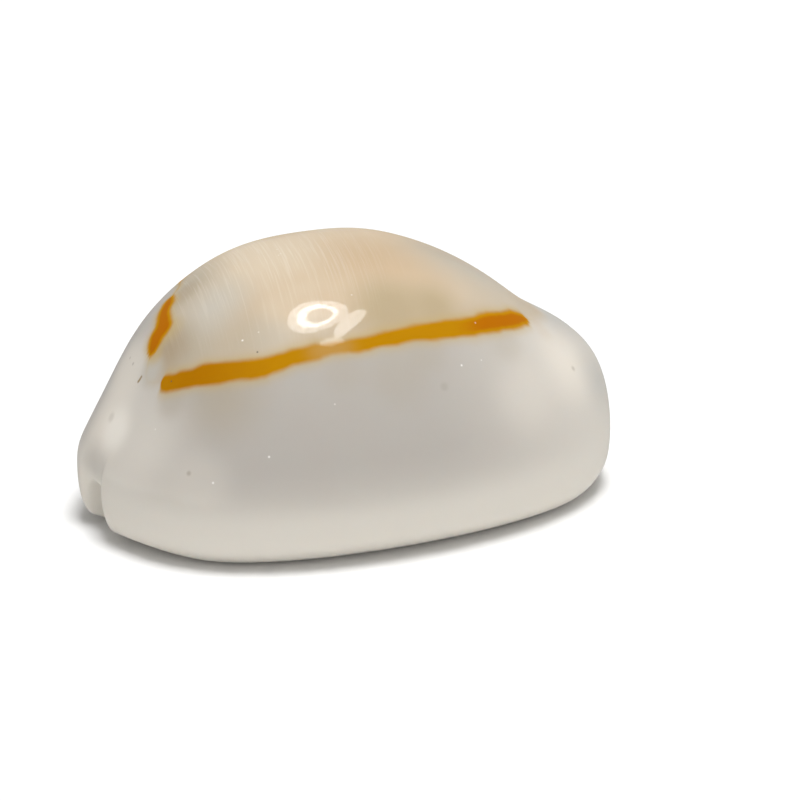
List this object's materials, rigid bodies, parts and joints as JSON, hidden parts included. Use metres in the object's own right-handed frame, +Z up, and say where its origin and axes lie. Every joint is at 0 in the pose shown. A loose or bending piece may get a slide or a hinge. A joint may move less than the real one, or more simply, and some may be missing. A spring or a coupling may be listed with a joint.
{
  "type": "gold ringer cowrie shell",
  "caption": "Empty cowrie shell: a glossy domed back on a flat base, hollow, with a toothed slot along the base and a canal at each end.",
  "frame": {"origin": "middle of the bounding box, on the plane that the base rests on", "axes": "+X towards the front (anterior) end, +Y towards the inner (columellar) lip's side, +Z up through the hump; the slot runs along X in the base"},
  "size_m": [0.024, 0.017, 0.012],
  "materials": {
    "shell": "gloss"
  },
  "bodies": {
    "root": {"cowrie_shell": "shell"}
  },
  "joints": []
}
